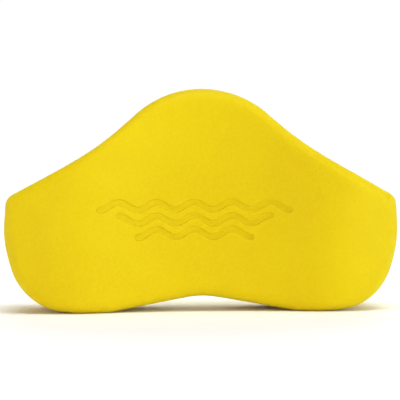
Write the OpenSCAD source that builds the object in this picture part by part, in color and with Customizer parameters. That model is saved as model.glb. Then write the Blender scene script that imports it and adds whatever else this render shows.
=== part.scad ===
// Pull buoy: a swimmer's float, held between the thighs or the ankles.
//
// It is a laminate of three plies of closed-cell EVA foam. A flat core board
// sits between two contoured pads, and a film of contact adhesive joins each
// pad to the core. Seen from the front it is a wide bell: a round hump in the
// middle, sloping shoulders, two full lobes and a shallow arch below. Seen
// from above it is waisted, so that the legs lie in a saddle on each face.
//
// X runs across the lobes, Y from the front face to the back one, Z up.
// The origin is on the ground, under the middle of the float.

/* [Outline, seen from the front] */
// Width between the two shoulder tips
tip_span = 260; // [250:1:262]
// Height of the top of the hump
body_h = 148; // [147:1:152]
// Radius of the hump
hump_r = 65; // [58:1:70]
// Slope of the hump where it meets the shoulders, in degrees
hump_slope = 42.8; // [41:0.1:43]
// Slope of the shoulders, in degrees
shoulder_slope = 28; // [26:0.5:28.5]
// Radius of the hollow where the hump turns into a shoulder
shoulder_r = 225; // [180:5:240]
// Height of the shoulder tips
tip_h = 75.5; // [73:0.5:76.5]
// Radius of the shoulder tips
tip_r = 9; // [8.5:0.5:11]
// Height at which the ends stand out furthest
end_h = 47; // [44:1:50]
// How far the ends stand out past the tips, before rounding
end_bulge = 1.7; // [1:0.1:3]
// Radius of the ends
end_r = 70; // [50:1:75]
// How far each lobe's lower corner lies in from the tips, before rounding
lobe_in = 10.5; // [9:0.5:13]
// Height of each lobe's lower corner, before rounding
lobe_z = 4; // [3:0.5:6]
// Radius of each lobe's lower corner
lobe_r = 40; // [34:1:42]
// Distance of the middle of each flat foot from the middle of the float
foot_x = 72; // [68:1:76]
// Length of each flat foot, before rounding
foot_l = 20; // [16:1:24]
// Radius of the rounding at both ends of a foot
foot_r = 60; // [40:1:70]
// Height of the arch between the feet, before rounding
arch_h = 11; // [8:0.5:13]
// Radius of the arch
arch_r = 60; // [50:1:80]

/* [Section, seen from above] */
// Thickness at the waist, before rounding
waist_t = 43; // [38:1:50]
// Thickness across the crests of the lobes, before rounding
crest_t = 96; // [90:1:101]
// Thickness at the end of a lobe
end_t = 64; // [58:1:70]
// Distance of a lobe's crest from the middle
crest_x = 88; // [84:1:92]
// Radius of the saddle that the leg lies in
saddle_r = 190; // [160:5:210]
// Radius of a lobe's crest
crest_r = 60; // [45:1:70]
// How much each face falls away towards the top and the bottom
face_crown = 3; // [0:0.5:5]
// Radius of the edge all round each face
edge_r = 8; // [5:0.5:8.5]

/* [Plies] */
// Thickness of the core board
core_t = 30; // [24:1:34]
// Thickness of each film of adhesive
film_t = 0.4; // [0.2:0.1:0.6]
// How far each film stops short of the outline
film_inset = 0.6; // [0.3:0.1:1]

/* [Emblem pressed into the front pad] */
// Number of waves, one above the other
wave_count = 3; // [1:1:3]
// Number of swells in the top wave
swell_count = 5; // [4:1:5]
// Length of one swell
swell_l = 25; // [20:0.5:26]
// Height of a swell above and below its wave's own line
swell_h = 2.6; // [1.5:0.1:3]
// Width of the groove
groove_w = 4; // [2:0.1:5]
// Depth of the groove
groove_d = 1.2; // [0.6:0.1:1.6]
// Distance from one wave down to the next
wave_gap = 9; // [8.5:0.1:12]
// Place of the middle of the emblem to the right of the middle of the float
emblem_x = -6; // [-10:1:10]
// Height of the middle of the emblem
emblem_z = 61; // [55:1:70]

/* [Hidden] */

foam_yellow = [0.96, 0.85, 0.09];
core_yellow = [0.93, 0.80, 0.10];
film_amber = [0.78, 0.62, 0.22];

// Mesh of a pad: columns in half its width, rows in its height, steps in its rounded edge
columns = 30;
rows = 14;
edge_steps = 5;
// The most that an arc of the outline turns from one point to the next, in degrees
arc_step = 4;
// How much closer together the points lie at the tips than in the middle, from 0 to 1
tip_crowding = 0.6;
// Steps in one swell of the emblem, and the angle of a step in the rounding of its ends
swell_steps = 16;
cap_step = 22.5;

// Corners of the right half of the outline, before rounding: [x, z]
apex_z = body_h + hump_r * (1 / cos(hump_slope) - 1);
tip_x = tip_span / 2;
shoulder_x = (apex_z - tip_h - tan(shoulder_slope) * tip_x) / (tan(hump_slope) - tan(shoulder_slope));
apex = [0, apex_z];
shoulder = [shoulder_x, apex_z - tan(hump_slope) * shoulder_x];
tip = [tip_x, tip_h];
end = [tip_x + end_bulge, end_h];
lobe = [tip_x - lobe_in, lobe_z];
heel = [foot_x + foot_l / 2, 0];
toe = [foot_x - foot_l / 2, 0];
arch = [0, arch_h];

// Corners of the right half of the section above the waist, before rounding: [x, y]
waist = [0, waist_t / 2];
crest = [crest_x, crest_t / 2];
section_end = [tip_x + end_bulge, end_t / 2];

function unit(v) = v / norm(v);
function mirrored(p) = [-p.x, p.y];

// The arc of radius r that rounds a corner, from share first to share last of its sweep
function corner_arc(before, corner, after, r, first = 0, last = 1) =
    let (
        to_before = unit(before - corner),
        to_after = unit(after - corner),
        half_angle = acos(to_before * to_after) / 2,
        centre = corner + unit(to_before + to_after) * r / sin(half_angle),
        start = corner + to_before * r / tan(half_angle) - centre,
        finish = corner + to_after * r / tan(half_angle) - centre,
        start_angle = atan2(start.y, start.x),
        sweep = (atan2(finish.y, finish.x) - start_angle + 540) % 360 - 180,
        steps = max(2, ceil(abs(sweep) * (last - first) / arc_step))
    )
    [
        for (i = [0 : steps])
            let (angle = start_angle + sweep * (first + (last - first) * i / steps))
            centre + r * [cos(angle), sin(angle)]
    ];

// Distance along a path of each of its points
function stations(path) = [
    for (i = 0, s = 0; i < len(path); s = s + norm(path[min(i + 1, len(path) - 1)] - path[i]), i = i + 1) s
];

// The points that lie at the given shares of a path's length
function resampled(path, shares) =
    let (
        along = stations(path),
        total = along[len(along) - 1],
        across = [for (i = [0 : len(path) - 1]) [along[i], path[i].x]],
        up = [for (i = [0 : len(path) - 1]) [along[i], path[i].y]]
    )
    [for (share = shares) [lookup(share * total, across), lookup(share * total, up)]];

// Shares from 0 to 1 that crowd together towards 1
function crowded(n) = [for (i = [0 : n]) (1 - tip_crowding) * i / n + tip_crowding * sin(90 * i / n)];

// The right half of the outline, in three stretches: from the hump down to the tip, from the lobe up to the
// tip, and from the arch out to the lobe
hump_to_tip = resampled(concat(
    corner_arc(mirrored(shoulder), apex, shoulder, hump_r, 0.5, 1),
    corner_arc(apex, shoulder, tip, shoulder_r),
    corner_arc(shoulder, tip, end, tip_r, 0, 0.5)
), crowded(columns));
lobe_to_tip = resampled(concat(
    corner_arc(heel, lobe, end, lobe_r, 0.5, 1),
    corner_arc(lobe, end, tip, end_r),
    corner_arc(end, tip, shoulder, tip_r, 0, 0.5)
), crowded(rows));
arch_to_lobe = resampled(concat(
    corner_arc(mirrored(toe), arch, toe, arch_r, 0.5, 1),
    corner_arc(arch, toe, heel, foot_r),
    corner_arc(toe, heel, lobe, foot_r),
    corner_arc(heel, lobe, end, lobe_r, 0, 0.5)
), crowded(columns));

// The whole outline, once round: along the bottom to the right, up, along the top to the left, and down
outline = concat(
    [for (i = [columns : -1 : 1]) mirrored(arch_to_lobe[i])],
    [for (i = [0 : columns - 1]) arch_to_lobe[i]],
    [for (j = [0 : rows - 1]) lobe_to_tip[j]],
    [for (i = [columns : -1 : 1]) hump_to_tip[i]],
    [for (i = [0 : columns - 1]) mirrored(hump_to_tip[i])],
    [for (j = [rows : -1 : 1]) mirrored(lobe_to_tip[j])]
);
around = len(outline);

// Outward normal at each point of the outline, from the two edges that meet there
normals = [
    for (i = [0 : around - 1])
        let (
            edge_in = outline[i] - outline[(i + around - 1) % around],
            edge_out = outline[(i + 1) % around] - outline[i],
            along = unit(edge_in / (edge_in * edge_in) + edge_out / (edge_out * edge_out))
        )
        [along.y, -along.x]
];

// The outline moved inwards
function inset_outline(distance) = [for (i = [0 : around - 1]) outline[i] - normals[i] * distance];

// Half the float's thickness at a place on its face, from the middle plane
section = concat(
    corner_arc(mirrored(crest), waist, crest, saddle_r, 0.5, 1),
    corner_arc(waist, crest, section_end, crest_r),
    [section_end]
);
function half_thickness(p) =
    lookup(abs(p.x), section) - face_crown * pow(2 * p.y / body_h - 1, 2);

// A face's quadrilateral mesh, stretched between the four sides of a ring that runs as the outline does
function stretched(ring, i, j) =
    let (
        wide = 2 * columns,
        u = i / wide,
        v = j / rows,
        bottom = ring[i],
        right = ring[wide + j],
        top = ring[2 * wide + rows - i],
        left = ring[(around - j) % around]
    )
    (1 - v) * bottom + v * top + (1 - u) * left + u * right
        - (1 - u) * (1 - v) * ring[0] - u * (1 - v) * ring[wide]
        - u * v * ring[wide + rows] - (1 - u) * v * ring[2 * wide + rows];

// A pad: a flat inner side, a wall, a rounded edge and a contoured face, all towards -Y
module pad() {
    wide = 2 * columns;
    inner_y = core_t / 2 + film_t;
    face_ring = inset_outline(edge_r);

    wall_foot = [for (p = outline) [p.x, -inner_y, p.y]];
    edge = [
        for (k = [0 : edge_steps])
            let (angle = 90 * k / edge_steps, ring = inset_outline(edge_r * (1 - cos(angle))))
            for (p = ring) [p.x, edge_r * (1 - sin(angle)) - half_thickness(p), p.y]
    ];
    face = [
        for (i = [1 : wide - 1], j = [1 : rows - 1])
            let (p = stretched(face_ring, i, j)) [p.x, -half_thickness(p), p.y]
    ];

    last_ring = around * (edge_steps + 1);
    first_inside = last_ring + around;
    function at(i, j) =
        j == 0 ? last_ring + i
        : i == wide ? last_ring + wide + j
        : j == rows ? last_ring + 2 * wide + rows - i
        : i == 0 ? last_ring + around - j
        : first_inside + (i - 1) * (rows - 1) + j - 1;

    wall_faces = [
        for (k = [0 : edge_steps], i = [0 : around - 1])
            let (next = (i + 1) % around)
            each [
                [k * around + i, (k + 1) * around + i, (k + 1) * around + next],
                [k * around + i, (k + 1) * around + next, k * around + next]
            ]
    ];
    face_faces = [
        for (i = [0 : wide - 1], j = [0 : rows - 1])
            each [
                [at(i, j), at(i, j + 1), at(i + 1, j + 1)],
                [at(i, j), at(i + 1, j + 1), at(i + 1, j)]
            ]
    ];
    // The flat inner side: rungs from the bottom to the top, and a fan at each end
    inner_faces = concat(
        [
            for (i = [0 : wide - 1])
                let (above = 2 * wide + rows - i)
                each [[i, i + 1, above - 1], [i, above - 1, above]]
        ],
        [for (j = [0 : rows - 2]) [wide, wide + j + 1, wide + j + 2]],
        [for (j = [1 : rows - 1]) [0, around - j - 1, around - j]]
    );

    polyhedron(concat(wall_foot, edge, face), concat(wall_faces, face_faces, inner_faces), convexity = 6);
}

// One wave of the emblem: a band along a cosine, with a half round at each end. All crests lie in line.
module wave(swells) {
    steps = swells * swell_steps;
    line = [
        for (i = [0 : steps])
            let (turns = i / swell_steps - swells / 2)
            [swell_l * turns, swell_h * cos(360 * turns)]
    ];
    side = [
        for (i = [0 : steps])
            let (along = unit(line[min(i + 1, steps)] - line[max(i - 1, 0)]))
            [-along.y, along.x] * groove_w / 2
    ];
    half_round = [
        for (angle = [cap_step : cap_step : 180 - cap_step])
            [sin(angle), cos(angle)] * groove_w / 2
    ];
    polygon(concat(
        [for (i = [0 : steps]) line[i] + side[i]],
        [for (p = half_round) line[steps] + p],
        [for (i = [steps : -1 : 0]) line[i] - side[i]],
        [for (p = half_round) line[0] - p]
    ));
}

// The emblem's waves, each a swell shorter than the one above it
module emblem() {
    for (i = [0 : wave_count - 1])
        translate([emblem_x, emblem_z + wave_gap * ((wave_count - 1) / 2 - i)])
            wave(swell_count - i);
}

// A flat layer, from the middle plane towards -Y or, if it is centred, on both sides of it
module layer(thickness, inset = 0, centred = false) {
    rotate([90, 0, 0])
        linear_extrude(thickness, center = centred)
            polygon(inset_outline(inset));
}

module front_pad() {
    color(foam_yellow)
        difference() {
            pad();
            difference() {
                translate([0, -waist_t / 2, 0])
                    rotate([90, 0, 0])
                        linear_extrude(crest_t / 2)
                            emblem();
                translate([0, groove_d, 0])
                    pad();
            }
        }
}

module front_adhesive_film() {
    color(film_amber)
        translate([0, -core_t / 2, 0])
            layer(film_t, film_inset);
}

module core_board() {
    color(core_yellow)
        layer(core_t, centred = true);
}

module back_adhesive_film() {
    color(film_amber)
        mirror([0, 1, 0])
            translate([0, -core_t / 2, 0])
                layer(film_t, film_inset);
}

module back_pad() {
    color(foam_yellow)
        mirror([0, 1, 0])
            pad();
}

front_pad();
front_adhesive_film();
core_board();
back_adhesive_film();
back_pad();
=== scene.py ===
"""A pull buoy of laminated EVA foam: the looks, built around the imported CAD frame.

The float's outline is read from the CAD core board and its section from the CAD back pad. Each ply is then
a fine mesh of its own. The core board has two glued sides and a wall; a pad has a glued side, a wall, a
rounded edge and a contoured face.
Metres throughout, in the frame's own axes: X across the lobes, -Y out of the front face, Z up.
"""

import math

import bpy
import numpy as np
from mathutils import Matrix, Vector, noise
from mathutils.bvhtree import BVHTree
from mathutils.geometry import delaunay_2d_cdt
from mathutils.kdtree import KDTree


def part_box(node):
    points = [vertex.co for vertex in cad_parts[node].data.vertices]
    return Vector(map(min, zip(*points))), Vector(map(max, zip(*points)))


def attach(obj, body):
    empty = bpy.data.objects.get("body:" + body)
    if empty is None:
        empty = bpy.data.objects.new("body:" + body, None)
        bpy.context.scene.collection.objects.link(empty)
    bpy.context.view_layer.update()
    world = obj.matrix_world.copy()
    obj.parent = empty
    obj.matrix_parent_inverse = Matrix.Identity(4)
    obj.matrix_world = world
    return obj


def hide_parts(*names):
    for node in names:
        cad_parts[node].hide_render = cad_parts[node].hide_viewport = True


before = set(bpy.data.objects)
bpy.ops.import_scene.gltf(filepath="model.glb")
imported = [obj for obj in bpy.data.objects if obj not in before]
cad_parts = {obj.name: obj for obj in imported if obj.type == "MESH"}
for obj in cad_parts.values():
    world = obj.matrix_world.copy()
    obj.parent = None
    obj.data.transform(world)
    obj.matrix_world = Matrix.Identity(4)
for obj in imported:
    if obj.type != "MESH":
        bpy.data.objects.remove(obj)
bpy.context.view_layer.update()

MM = 0.001

# The frame's own sizes
BODY_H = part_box("core_board")[1].z
CORE_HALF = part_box("core_board")[1].y
PAD_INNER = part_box("back_pad")[0].y

# Edges of the plies
EDGE_R = 8 * MM             # the rounded edge all round a face
CUT_FADE = 0.25             # the share of it over which the look of a cut wall fades
GLUE_EDGE_R = 0.5 * MM      # the softened edge beside a glue line
FILM_INSET = 0.6 * MM       # how far the adhesive stops short of the wall
BEAD = 0.25 * MM            # how far its bead swells back out
BEAD_MEAN = 0.7             # its share of that on average
BEAD_VARIES = 0.5           # how far the share goes up and down
BEAD_BUMPS = 90             # how many times a metre

# The foam's slight unevenness: bumps per metre, and their height
UNEVEN_BROAD = (38, 0.16 * MM)
UNEVEN_FINE = (150, 0.05 * MM)
UNEVEN_FADE = 2 * MM        # how far beyond a softened edge it reaches that height

# Fineness of the meshes
OUTLINE_STEP = 1.15 * MM
FACE_STEP = 1.4 * MM
GLUE_STEP = 7 * MM
EDGE_STEPS = 12
WALL_STEPS = 9
GLUE_EDGE_STEPS = 4
BEAD_STEPS = 6
FILL_GAP = 0.62             # how near the filling points come to a curve's own, in steps
SAME_PLACE = 0.001 * MM
DIGITS = 6                  # decimals of a metre that tell two corners apart
MERGE_MM = 1e-5             # points nearer than this become one

# Reading the section, in samples across the width
SAMPLE = 1 * MM
SAMPLES = 120               # from the middle to either side
TAIL = 15                   # the last of them, whose slope carries on
BEYOND = 40                 # more, on that slope
BLUR = 4                    # the spread of the smoothing

# The emblem: three pressed waves, each a swell shorter than the one above
SWELL_L = 25 * MM
SWELL_H = 2.6 * MM
SWELL_STEPS = 44
GROOVE_W = 4 * MM
GROOVE_D = 1.2 * MM
GROOVE_LIP = 1.1 * MM       # how wide the slope at a groove's side is
GROOVE_RAILS = 9            # curves from the foot of that slope to its top
GROOVE_END = 12             # degrees between the points round a groove's end
EMBLEM_X = -6 * MM
WAVES = ((5, 70 * MM), (4, 61 * MM), (3, 52 * MM))   # how many swells, and how high above the ground


# ---------------------------------------------------------------- what the frame says

def cad_outline():
    """The corners of the CAD core board's front side, once round it, anticlockwise as seen from the front."""
    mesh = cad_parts["core_board"].data
    seen = {}
    for polygon in mesh.polygons:
        corners = [mesh.vertices[v].co for v in polygon.vertices]
        if any(abs(c.y + CORE_HALF) > SAME_PLACE for c in corners):
            continue
        keys = [(round(c.x, DIGITS), round(c.z, DIGITS)) for c in corners]
        for pair in zip(keys, keys[1:] + keys[:1]):
            edge = tuple(sorted(pair))
            seen[edge] = seen.get(edge, 0) + 1
    neighbours = {}
    for a, b in (edge for edge, count in seen.items() if count == 1):
        neighbours.setdefault(a, []).append(b)
        neighbours.setdefault(b, []).append(a)
    loop = [min(neighbours)]
    loop.append(neighbours[loop[0]][0])
    while loop[-1] != loop[0]:
        loop.append(next(p for p in neighbours[loop[-1]] if p != loop[-2]))
    loop = np.array(loop[:-1])
    following = np.roll(loop, -1, axis=0)
    area = np.sum(loop[:, 0] * following[:, 1] - following[:, 0] * loop[:, 1])
    return loop if area > 0 else loop[::-1]


def smooth_loop(points, step):
    """A periodic cubic spline through points, at equal steps: the places on it and the outward normals."""
    n = len(points)
    following = np.roll(points, -1, axis=0)
    chord = np.linalg.norm(following - points, axis=1)
    slope = (following - points) / chord[:, None]
    system = np.zeros((n, n))
    for i in range(n):
        system[i, i - 1] = chord[i - 1]
        system[i, i] = 2 * (chord[i - 1] + chord[i])
        system[i, (i + 1) % n] = chord[i]
    bend = np.linalg.solve(system, 6 * (slope - np.roll(slope, 1, axis=0)))
    knots = np.concatenate([[0], np.cumsum(chord)])
    s = np.linspace(0, knots[-1], round(knots[-1] / step), endpoint=False)
    i = np.searchsorted(knots, s, side="right") - 1
    j = (i + 1) % n
    h = chord[i][:, None]
    b = (s - knots[i])[:, None] / h
    a = 1 - b
    place = a * points[i] + b * points[j] + ((a**3 - a) * bend[i] + (b**3 - b) * bend[j]) * h**2 / 6
    along = slope[i] + ((3 * b**2 - 1) * bend[j] - (3 * a**2 - 1) * bend[i]) * h / 6
    along /= np.linalg.norm(along, axis=1)[:, None]
    return place, np.stack([along[:, 1], -along[:, 0]], axis=1)


def crown_loss(z):
    """The share of a face's crown that is lost at a height: none half way up, all at the top and ground."""
    return (2 * z / BODY_H - 1) ** 2


def cad_section():
    """Places across the width, the float's smoothed half thickness there half way up, and its crown, all
    read from the CAD back pad."""
    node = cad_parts["back_pad"].data
    tree = BVHTree.FromPolygons([v.co for v in node.vertices], [list(p.vertices) for p in node.polygons])

    def face(x, z):
        """How far behind the middle plane the back face is, met by a ray from 1 m behind."""
        return tree.ray_cast(Vector((x, 1, z)), Vector((0, -1, 0)))[0].y

    low = BODY_H / 6
    wide = BODY_H / 3
    crown = (face(0, BODY_H / 2) - face(0, low)) / crown_loss(low)
    half = [face(i * SAMPLE, wide) + crown * crown_loss(wide) for i in range(SAMPLES + 1)]
    slope = (half[-1] - half[-1 - TAIL]) / TAIL
    half += [half[-1] + slope * i for i in range(1, BEYOND + 1)]
    half = np.array(half[:0:-1] + half)
    ruler = np.arange(-SAMPLES - BEYOND, SAMPLES + BEYOND + 1) * SAMPLE
    margin = 3 * BLUR
    weight = np.exp(-0.5 * (np.arange(-margin, margin + 1) / BLUR) ** 2)
    return ruler[margin:-margin], np.convolve(half, weight / weight.sum(), mode="valid"), crown


RULER, HALF, CROWN = cad_section()
OUTLINE, NORMALS = smooth_loop(cad_outline(), OUTLINE_STEP)


def half_thickness(x, z):
    """Distance from the middle plane to a face."""
    return np.interp(x, RULER, HALF) - CROWN * crown_loss(z)


# ---------------------------------------------------------------- triangles inside a loop

def finder(points):
    """A search tree of points in a plane, for the nearest one to a place."""
    tree = KDTree(len(points))
    for i, (x, y) in enumerate(points):
        tree.insert((x, y, 0), i)
    tree.balance()
    return tree


def inside(points, loop):
    """Which points lie inside a closed loop, by the even-odd rule."""
    x, y = points[:, :1], points[:, 1:]
    x0, y0 = loop[:, 0], loop[:, 1]
    x1, y1 = np.roll(x0, -1), np.roll(y0, -1)
    spans = (y0 > y) != (y1 > y)
    rise = np.where(y1 == y0, 1, y1 - y0)
    return np.sum(spans & (x < (x1 - x0) * (y - y0) / rise + x0), axis=1) % 2 == 1


def filled(loop, step, curves=()):
    """Triangles inside a loop, about a step wide, whose edges also follow the closed curves in it.
    Gives the places, the loop's own first and then the curves', and the triangles."""
    fixed = [loop, *curves]
    places = np.concatenate(fixed)
    edges = []
    first = 0
    for curve in fixed:
        edges += [(first + i, first + (i + 1) % len(curve)) for i in range(len(curve))]
        first += len(curve)
    low, high = loop.min(0), loop.max(0)
    rows = np.arange(low[1], high[1], step * math.sqrt(3) / 2)
    columns = np.arange(low[0], high[0], step)
    lattice = np.array([(x + step / 2 * (j % 2), y) for j, y in enumerate(rows) for x in columns])
    lattice = lattice[inside(lattice, loop)]
    near = finder(places)
    lattice = np.array([p for p in lattice if near.find((p[0], p[1], 0))[2] > FILL_GAP * step])
    places = np.concatenate([places, lattice])
    flat = [Vector(p / MM) for p in places]
    _, _, faces, sources, _, _ = delaunay_2d_cdt(flat, edges, [], 0, MERGE_MM, True)
    triangles = np.array([[sources[v][0] for v in face] for face in faces])
    return places, triangles[inside(places[triangles].mean(axis=1), loop)].tolist()


# ---------------------------------------------------------------- the emblem

def wave_line(x):
    """How high a wave of the emblem runs above its middle at a distance from its centre, and how steeply."""
    turn = 2 * math.pi / SWELL_L
    return SWELL_H * np.cos(turn * x), -SWELL_H * turn * np.sin(turn * x)


def groove_depth(share):
    """The depth on a groove's slope, from its foot at 0 to its top at 1, level at both."""
    return GROOVE_D * (1 - share**3 * (10 - 15 * share + 6 * share**2))


def wave_curves():
    """The closed curves along the sides of the emblem's grooves, and how deep each one lies."""
    curves = []
    depths = []
    angle = np.radians(np.arange(GROOVE_END, 180, GROOVE_END))
    end = np.stack([np.sin(angle), np.cos(angle)], axis=1)
    for swells, middle in WAVES:
        x = np.linspace(-0.5, 0.5, swells * SWELL_STEPS + 1) * swells * SWELL_L
        height, slope = wave_line(x)
        line = np.stack([EMBLEM_X + x, middle + height], axis=1)
        side = np.stack([-slope, np.ones_like(slope)], axis=1) / np.hypot(1, slope)[:, None]
        for share in np.linspace(0, 1, GROOVE_RAILS):
            offset = GROOVE_W / 2 + GROOVE_LIP * (share - 0.5)
            above, below = line + side * offset, line - side * offset
            loop = np.concatenate([above, line[-1] + end * offset, below[::-1], line[0] - end * offset])
            curves.append(loop[::-1])
            depths.append(groove_depth(share))
    return curves, depths


def groove_floor(points):
    """Which points lie on the floor of a groove."""
    floor = np.zeros(len(points), bool)
    for swells, middle in WAVES:
        across = points[:, 0] - EMBLEM_X
        x = np.clip(across, -swells * SWELL_L / 2, swells * SWELL_L / 2)
        height, slope = wave_line(x)
        away = (points[:, 1] - middle - height) / np.hypot(1, slope)
        floor |= np.hypot(across - x, away) < (GROOVE_W - GROOVE_LIP) / 2
    return floor


def pressed_depth(vertices, first, curves, depths):
    """How deep each vertex of a pad is pressed in. first is the first vertex inside the rims."""
    outer = vertices[:, 1] > PAD_INNER + GROOVE_D
    depth = np.where(groove_floor(vertices[:, [0, 2]]) & outer, GROOVE_D, 0.0)
    along = np.concatenate([np.full(len(c), d) for c, d in zip(curves, depths)])
    near = finder(np.concatenate(curves))
    for v in range(first, len(vertices)):
        _, i, gap = near.find((vertices[v, 0], vertices[v, 2], 0))
        if gap < SAME_PLACE and outer[v]:
            depth[v] = along[i]
    return depth


# ---------------------------------------------------------------- the plies' meshes

def ring(inset, away):
    """A ring round the float: its outline moved inwards, at a distance from the middle plane."""
    flat = OUTLINE - NORMALS * np.reshape(inset, (-1, 1))
    return np.column_stack([flat[:, 0], np.broadcast_to(away, len(flat)), flat[:, 1]])


def quarter(steps):
    """Angles through a quarter turn, both ends included."""
    return np.linspace(0, math.pi / 2, steps + 1)


def glue_edge(level, way):
    """The rings of the softened edge beside a glue line, from the glued side out to the wall."""
    return [
        ring(GLUE_EDGE_R * (1 - math.sin(a)), level + way * GLUE_EDGE_R * (1 - math.cos(a)))
        for a in quarter(GLUE_EDGE_STEPS)
    ]


def wall(low, high):
    """The rings of a wall between two distances from the middle plane, without the first and the last."""
    return [ring(0, low + (high - low) * k / WALL_STEPS) for k in range(1, WALL_STEPS)]


def rounded_edge():
    """The rings of a pad's rounded edge, from just past the wall to the rim of the face."""
    rings = []
    for a in quarter(EDGE_STEPS)[1:]:
        inset = EDGE_R * (1 - math.cos(a))
        flat = OUTLINE - NORMALS * inset
        rings.append(ring(inset, half_thickness(*flat.T) - EDGE_R * (1 - math.sin(a))))
    return rings


def closed(rings, step=GLUE_STEP, curves=(), face=None):
    """Vertices and faces of the solid whose sides are the rings: quads between them, and triangles across the
    first ring and the last. The last side may be finer, follow curves, and lie as high as face says."""
    n = len(OUTLINE)
    faces = []
    for k in range(len(rings) - 1):
        for i in range(n):
            j = (i + 1) % n
            faces.append([k * n + j, (k + 1) * n + j, (k + 1) * n + i, k * n + i])
    vertices = np.concatenate(rings)
    last = len(vertices) - n
    for first, size, along in ((0, GLUE_STEP, ()), (last, step, curves)):
        side = vertices[first:first + n]
        places, triangles = filled(side[:, [0, 2]], size, along)
        more = places[n:]
        away = face(*more.T) if face and first == last else np.full(len(more), side[0, 1])
        index = np.concatenate([np.arange(first, first + n), len(vertices) + np.arange(len(more))])
        triangles = index[np.array(triangles)]
        faces += (triangles if first == last else triangles[:, ::-1]).tolist()
        vertices = np.concatenate([vertices, np.column_stack([more[:, 0], away, more[:, 1]])])
    return vertices, faces


def solid(name, vertices, faces, toward, marks=None):
    """An object from vertices whose Y is the distance from the middle plane, turned towards -Y or +Y."""
    mesh = bpy.data.meshes.new(name)
    turned = faces if toward < 0 else [f[::-1] for f in faces]
    mesh.from_pydata((vertices * (1, toward, 1)).tolist(), [], turned)
    for mark, values in (marks or {}).items():
        mesh.attributes.new(mark, "FLOAT", "POINT").data.foreach_set("value", values.astype(np.float32))
    mesh.shade_smooth()
    piece = bpy.data.objects.new(name, mesh)
    bpy.context.scene.collection.objects.link(piece)
    return piece


def uneven(piece, beyond, seed):
    """Gives the foam its slight unevenness, which fades out towards the glue lines. beyond is how far each
    vertex is past a softened edge."""
    mesh = piece.data
    offset = Vector((seed, seed * 1.7, -seed))      # each piece has its own place in the noise
    hold = np.clip(beyond / UNEVEN_FADE, 0, 1)
    for vertex, normal, free in zip(mesh.vertices, [n.vector.copy() for n in mesh.vertex_normals], hold):
        broad = noise.noise(vertex.co * UNEVEN_BROAD[0] + offset) * UNEVEN_BROAD[1]
        fine = noise.noise(vertex.co * UNEVEN_FINE[0] + offset) * UNEVEN_FINE[1]
        vertex.co += normal * (broad + fine) * float(free)
    mesh.update()


def pad(name, toward, pressed, seed):
    """A contoured pad, with the emblem pressed into it or not."""
    top = half_thickness(*OUTLINE.T) - EDGE_R
    straight = glue_edge(PAD_INNER, 1) + wall(PAD_INNER + GLUE_EDGE_R, top) + [ring(0, top)]
    rings = straight + rounded_edge()
    curves, depths = wave_curves() if pressed else ([], [])
    vertices, faces = closed(rings, FACE_STEP, curves, half_thickness)
    depth = np.zeros(len(vertices))
    if pressed:
        depth = pressed_depth(vertices, len(rings) * len(OUTLINE), curves, depths)
    vertices[:, 1] -= depth

    index = np.arange(len(vertices))
    wall_end = len(straight) * len(OUTLINE)
    turned = (index - wall_end) / (len(OUTLINE) * EDGE_STEPS)     # 0 at the wall, 1 at the face's rim
    edge = (turned > 0) & (turned < 1)
    marks = {
        "cut": np.where(index < wall_end, 1.0, np.clip(1 - turned / CUT_FADE, 0, 1)),
        "rim": np.where(edge, np.sin(math.pi * np.clip(turned, 0, 1)), 0.0),
        "pressed": depth / GROOVE_D,
    }
    piece = solid(name, vertices, faces, toward, marks)
    uneven(piece, vertices[:, 1] - PAD_INNER - GLUE_EDGE_R, seed)
    return piece


def core(name, seed):
    """The flat board between the pads."""
    near, far = glue_edge(-CORE_HALF, 1), glue_edge(CORE_HALF, -1)[::-1]
    middle = wall(-CORE_HALF + GLUE_EDGE_R, CORE_HALF - GLUE_EDGE_R)
    vertices, faces = closed(near + middle + far)
    piece = solid(name, vertices, faces, -1, {"cut": np.ones(len(vertices))})
    uneven(piece, CORE_HALF - GLUE_EDGE_R - np.abs(vertices[:, 1]), seed)
    return piece


def film(name, toward, seed):
    """A film of adhesive, whose edge swells into a bead of uneven width."""
    bumps = [noise.noise(Vector((x * BEAD_BUMPS, z * BEAD_BUMPS, seed))) for x, z in OUTLINE]
    swell = BEAD_MEAN + BEAD_VARIES * np.array(bumps)
    rings = [
        ring(FILM_INSET - BEAD * math.sin(math.pi * t) * swell, CORE_HALF + (PAD_INNER - CORE_HALF) * t)
        for t in np.linspace(0, 1, BEAD_STEPS + 1)
    ]
    return solid(name, *closed(rings), toward)


# ---------------------------------------------------------------- materials

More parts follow.
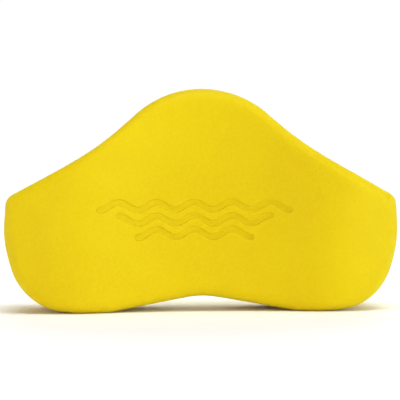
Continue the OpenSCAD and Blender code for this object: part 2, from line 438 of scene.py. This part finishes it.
class Graph:
    """A material's node tree, with short ways to add to it."""

    def __init__(self, name):
        self.material = bpy.data.materials.new(name)
        self.material.use_nodes = True
        self.tree = self.material.node_tree
        self.shader = self.tree.nodes["Principled BSDF"]
        self.place = self.add("ShaderNodeTexCoord").outputs["Object"]

    def add(self, kind, inputs=None, **settings):
        """A node. An input is a value or another node's output."""
        node = self.tree.nodes.new(kind)
        for key, value in settings.items():
            setattr(node, key, value)
        for key, value in (inputs or {}).items():
            self.put(node.inputs[key], value)
        return node

    def put(self, socket, value):
        """Links a node's output to a socket, or gives the socket a value."""
        if isinstance(value, bpy.types.NodeSocket):
            self.tree.links.new(value, socket)
        else:
            socket.default_value = value

    def noise(self, scale, detail=2.0, roughness=0.5, distortion=0.0):
        """Cloudy noise. The scale is in features per metre."""
        inputs = {"Vector": self.place, "Scale": scale, "Detail": detail}
        inputs |= {"Roughness": roughness, "Distortion": distortion}
        return self.add("ShaderNodeTexNoise", inputs).outputs["Fac"]

    def cells(self, scale):
        """The distance to the middle of the nearest cell. The scale is in cells per metre."""
        return self.add("ShaderNodeTexVoronoi", {"Vector": self.place, "Scale": scale}).outputs["Distance"]

    def mark(self, name):
        """A value that the mesh carries at its vertices."""
        return self.add("ShaderNodeAttribute", attribute_name=name).outputs["Fac"]

    def ranged(self, value, low, high, new_low=0.0, new_high=1.0):
        """A value taken from one range to another, and kept within it."""
        inputs = {"Value": value, "From Min": low, "From Max": high, "To Min": new_low, "To Max": new_high}
        return self.add("ShaderNodeMapRange", inputs).outputs["Result"]

    def math(self, operation, a, b):
        """The sum or the product of two values."""
        return self.add("ShaderNodeMath", {0: a, 1: b}, operation=operation).outputs[0]

    def mix(self, share, a, b):
        """Colour a turning into colour b as share goes from 0 to 1. The node's sockets share their names
        between kinds of data, so the ones for colours go by number."""
        return self.add("ShaderNodeMix", {0: share, 6: a, 7: b}, data_type="RGBA").outputs[2]

    def bump(self, height, distance, strength, normal=None):
        """A surface whose height varies over a distance, on top of another such surface or none."""
        inputs = {"Height": height, "Distance": distance, "Strength": strength}
        if normal is not None:
            inputs["Normal"] = normal
        return self.add("ShaderNodeBump", inputs).outputs["Normal"]

    def finish(self, **sockets):
        """Fills the shader's sockets. An underscore in a name stands for a space."""
        for name, value in sockets.items():
            self.put(self.shader.inputs[name.replace("_", " ")], value)
        return self.material


# The foam's patterns, in features per metre
CLOUDS = 16
SCUFFS = 95
GRAIN = 520
PORES = 900
FINE_GRAIN = 1900

# How deep the patterns dent the surface
GRAIN_D = 0.20 * MM
PORES_D = 0.20 * MM
FINE_GRAIN_D = 0.08 * MM

# How strongly they colour it
SPECKLED = 0.30
HOLED = (0.20, 0.60)        # on the moulded skin and on a cut wall
WORN = 0.35
# painted light: how much lighter the pressed grooves are painted, to cancel the shade that falls in them
GROOVE_PAINTED_LIGHT = 0.15

# How rough the foam is, and how much rougher where it was cut
FOAM_ROUGH = (0.50, 0.62)
CUT_ROUGHER = 0.14

# The adhesive's strings, a metre and in depth, and how rough it is
STRINGS = 300
STRINGS_D = 0.08 * MM
GLUE_ROUGH = (0.32, 0.5)


def times(colour, red, green, blue):
    """A colour with its channels multiplied."""
    return (colour[0] * red, colour[1] * green, colour[2] * blue, 1)


def foam(name, light, deep):
    """Closed-cell EVA foam: a matt moulded skin, more open where it was cut, worn pale along its rims. It is
    painted lighter in its pressed grooves, against the shade that falls in them.
    """
    g = Graph(name)
    cut = g.mark("cut")
    rim = g.mark("rim")
    pressed = g.mark("pressed")
    cloud = g.noise(scale=CLOUDS, detail=3, roughness=0.55, distortion=0.3)
    grain = g.noise(scale=GRAIN, detail=3, roughness=0.6)
    fine = g.noise(scale=FINE_GRAIN, detail=2, roughness=0.5)
    pores = g.cells(scale=PORES)
    scuffs = g.noise(scale=SCUFFS, detail=4, roughness=0.65, distortion=1.2)

    colour = g.mix(g.ranged(cloud, 0.3, 0.7), deep, light)
    speckle = g.math("MULTIPLY", g.ranged(grain, 0.35, 0.65), SPECKLED)
    colour = g.mix(speckle, colour, times(light, 1.12, 1.12, 1.5))
    pinholes = g.math("MULTIPLY", g.ranged(pores, 0.0, 0.22, 1.0, 0.0), g.ranged(cut, 0, 1, *HOLED))
    colour = g.mix(pinholes, colour, times(deep, 0.72, 0.66, 0.6))
    worn = g.math("MULTIPLY", rim, g.ranged(scuffs, 0.52, 0.72, 0.0, WORN))
    colour = g.mix(worn, colour, times(light, 1.12, 1.15, 5))
    # Painted light: the pressed grooves are painted lighter, which cancels the shade that falls in them.
    colour = g.mix(g.math("MULTIPLY", pressed, GROOVE_PAINTED_LIGHT), colour, times(light, 1.06, 1.06, 1))

    roughness = g.math("ADD", g.ranged(grain, 0.3, 0.7, *FOAM_ROUGH), g.math("MULTIPLY", cut, CUT_ROUGHER))
    holes = g.math("MULTIPLY", g.ranged(pores, 0, 0.35), g.ranged(cut, 0, 1, 0.3, 1))
    leather = g.bump(grain, distance=GRAIN_D, strength=0.55)
    skin = g.bump(fine, distance=FINE_GRAIN_D, strength=0.5, normal=leather)
    normal = g.bump(holes, distance=PORES_D, strength=0.7, normal=skin)
    return g.finish(
        Base_Color=colour, Roughness=roughness, Normal=normal, Specular_IOR_Level=0.10,
        Subsurface_Weight=0.12, Subsurface_Radius=(1.0, 0.55, 0.08), Subsurface_Scale=3 * MM,
        Sheen_Weight=0.03, Sheen_Roughness=0.5, Sheen_Tint=(1.0, 0.9, 0.35, 1),
    )


def adhesive(name, light, deep):
    """Dried contact adhesive: amber, half glossy, a little stringy along its bead."""
    g = Graph(name)
    streak = g.noise(scale=STRINGS, detail=3, roughness=0.6, distortion=1.5)
    colour = g.mix(g.ranged(streak, 0.35, 0.65), deep, light)
    normal = g.bump(streak, distance=STRINGS_D, strength=0.5)
    roughness = g.ranged(streak, 0.3, 0.7, *GLUE_ROUGH)
    return g.finish(Base_Color=colour, Roughness=roughness, Normal=normal)


def painted(name, light, deep):
    """The plain pale floor, very slightly clouded."""
    g = Graph(name)
    colour = g.mix(g.ranged(g.noise(scale=3), 0.3, 0.7), deep, light)
    return g.finish(Base_Color=colour, Roughness=0.8, Specular_IOR_Level=0.2)


# ---------------------------------------------------------------- the float

PAD_LIGHT = (0.686, 0.540, 0.002, 1)
PAD_DEEP = (0.650, 0.496, 0.002, 1)
CORE_LIGHT = (0.660, 0.515, 0.004, 1)
CORE_DEEP = (0.620, 0.460, 0.004, 1)
GLUE_LIGHT = (0.42, 0.27, 0.05, 1)
GLUE_DEEP = (0.30, 0.17, 0.03, 1)

pad_foam = foam("pad_foam", PAD_LIGHT, PAD_DEEP)
core_foam = foam("core_foam", CORE_LIGHT, CORE_DEEP)
glue = adhesive("contact_adhesive", GLUE_LIGHT, GLUE_DEEP)

for piece, node, slot, material in (
    (pad("front_pad_foam", -1, True, 3.1), "front_pad", "pad_foam", pad_foam),
    (film("front_glue_film", -1, 1.3), "front_adhesive_film", "contact_adhesive", glue),
    (core("core_foam_board", 5.9), "core_board", "core_foam", core_foam),
    (film("back_glue_film", 1, 8.6), "back_adhesive_film", "contact_adhesive", glue),
    (pad("back_pad_foam", 1, False, 7.7), "back_pad", "pad_foam", pad_foam),
):
    piece.data.materials.append(material)
    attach(piece, "root")
    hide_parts(node)


# ---------------------------------------------------------------- floor, lights and camera

LAMP_SPREAD = 40            # how wide the soft lights look, in degrees
FLOOR_R = 6
FLOOR_SIDES = 96
FLOOR_LIGHT = (0.97, 0.97, 0.97, 1)
FLOOR_DEEP = (0.95, 0.95, 0.95, 1)
CLEAN_WHITE = (0.97, 1.0, 1.0)
WARM = (1.0, 0.46, 0.35)


def disc(name, material):
    """The flat round floor."""
    mesh = bpy.data.meshes.new(name)
    angles = np.linspace(0, 2 * math.pi, FLOOR_SIDES, endpoint=False)
    rim = [(FLOOR_R * math.cos(a), FLOOR_R * math.sin(a), 0) for a in angles]
    mesh.from_pydata(rim, [], [list(range(FLOOR_SIDES))])
    mesh.materials.append(material)
    floor = bpy.data.objects.new(name, mesh)
    bpy.context.scene.collection.objects.link(floor)


def direction(azimuth, elevation):
    """The way from the float to a lamp or the camera. Azimuth 0 is in front, along -Y, and 90 is along +X."""
    azimuth, elevation = math.radians(azimuth), math.radians(elevation)
    flat = math.cos(elevation)
    return Vector((math.sin(azimuth) * flat, -math.cos(azimuth) * flat, math.sin(elevation)))


def hang(name, light, back):
    """A lamp that shines the opposite way to back."""
    lamp = bpy.data.objects.new(name, light)
    lamp.rotation_euler = back.to_track_quat("Z", "Y").to_euler()
    bpy.context.scene.collection.objects.link(lamp)
    return lamp


def soft_light(name, azimuth, elevation, share, colour=(1, 1, 1)):
    """A very soft light from one side. share is how bright a white card facing it would look."""
    light = bpy.data.lights.new(name, "SUN")
    light.angle = math.radians(LAMP_SPREAD)
    light.energy = share * math.pi
    light.color = colour
    hang(name, light, direction(azimuth, elevation))


def softbox(name, place, size, power, aim):
    """A square lamp near the float that shines at a point."""
    light = bpy.data.lights.new(name, "AREA")
    light.size = size
    light.energy = power
    hang(name, light, Vector(place) - Vector(aim)).location = place


def studio(horizon, overhead, low, high):
    """White walls all round, that darken towards the ceiling between two elevations."""
    world = bpy.data.worlds.new("studio")
    world.use_nodes = True
    tree = world.node_tree
    background = tree.nodes["Background"]
    way = tree.nodes.new("ShaderNodeTexCoord")
    height = tree.nodes.new("ShaderNodeSeparateXYZ")
    fade = tree.nodes.new("ShaderNodeMapRange")
    fade.interpolation_type = "SMOOTHSTEP"
    fade.inputs["From Min"].default_value = math.sin(math.radians(low))
    fade.inputs["From Max"].default_value = math.sin(math.radians(high))
    fade.inputs["To Min"].default_value = horizon
    fade.inputs["To Max"].default_value = overhead
    background.inputs["Color"].default_value = (1, 1, 1, 1)
    tree.links.new(way.outputs["Generated"], height.inputs[0])
    tree.links.new(height.outputs["Z"], fade.inputs["Value"])
    tree.links.new(fade.outputs["Result"], background.inputs["Strength"])
    bpy.context.scene.world = world


def camera(azimuth, elevation, roll, distance, lens, aim):
    """A camera that looks at aim. roll turns it anticlockwise."""
    back = direction(azimuth, elevation)
    level = Vector((math.cos(math.radians(azimuth)), math.sin(math.radians(azimuth)), 0))
    turn = math.radians(roll)
    right = level * math.cos(turn) + back.cross(level) * math.sin(turn)
    up = back.cross(right)
    data = bpy.data.cameras.new("camera")
    data.lens = lens
    seat = bpy.data.objects.new("camera", data)
    axes = Matrix((right, up, back)).transposed().to_4x4()
    seat.matrix_world = Matrix.Translation(Vector(aim) + back * distance) @ axes
    bpy.context.scene.collection.objects.link(seat)
    bpy.context.scene.camera = seat


bpy.context.scene.view_settings.view_transform = "Standard"
disc("floor", painted("pale_floor", FLOOR_LIGHT, FLOOR_DEEP))
studio(horizon=1.03, overhead=0.12, low=10, high=35)
soft_light("top_light", azimuth=30, elevation=80, share=0.62, colour=CLEAN_WHITE)
soft_light("right_light", azimuth=62, elevation=10, share=0.45, colour=CLEAN_WHITE)
soft_light("left_light", azimuth=-40, elevation=10, share=0.18, colour=WARM)
soft_light("back_light", azimuth=170, elevation=25, share=0.34)
softbox("left_fill", place=(-0.32, -0.50, 0.14), size=0.3, power=0.32, aim=(0, 0, BODY_H / 2))
camera(
    azimuth=-4.75, elevation=0.6, roll=-0.24, distance=1.12, lens=148.4,
    aim=(0.45 * MM, 0, BODY_H / 2 - 0.4 * MM),
)
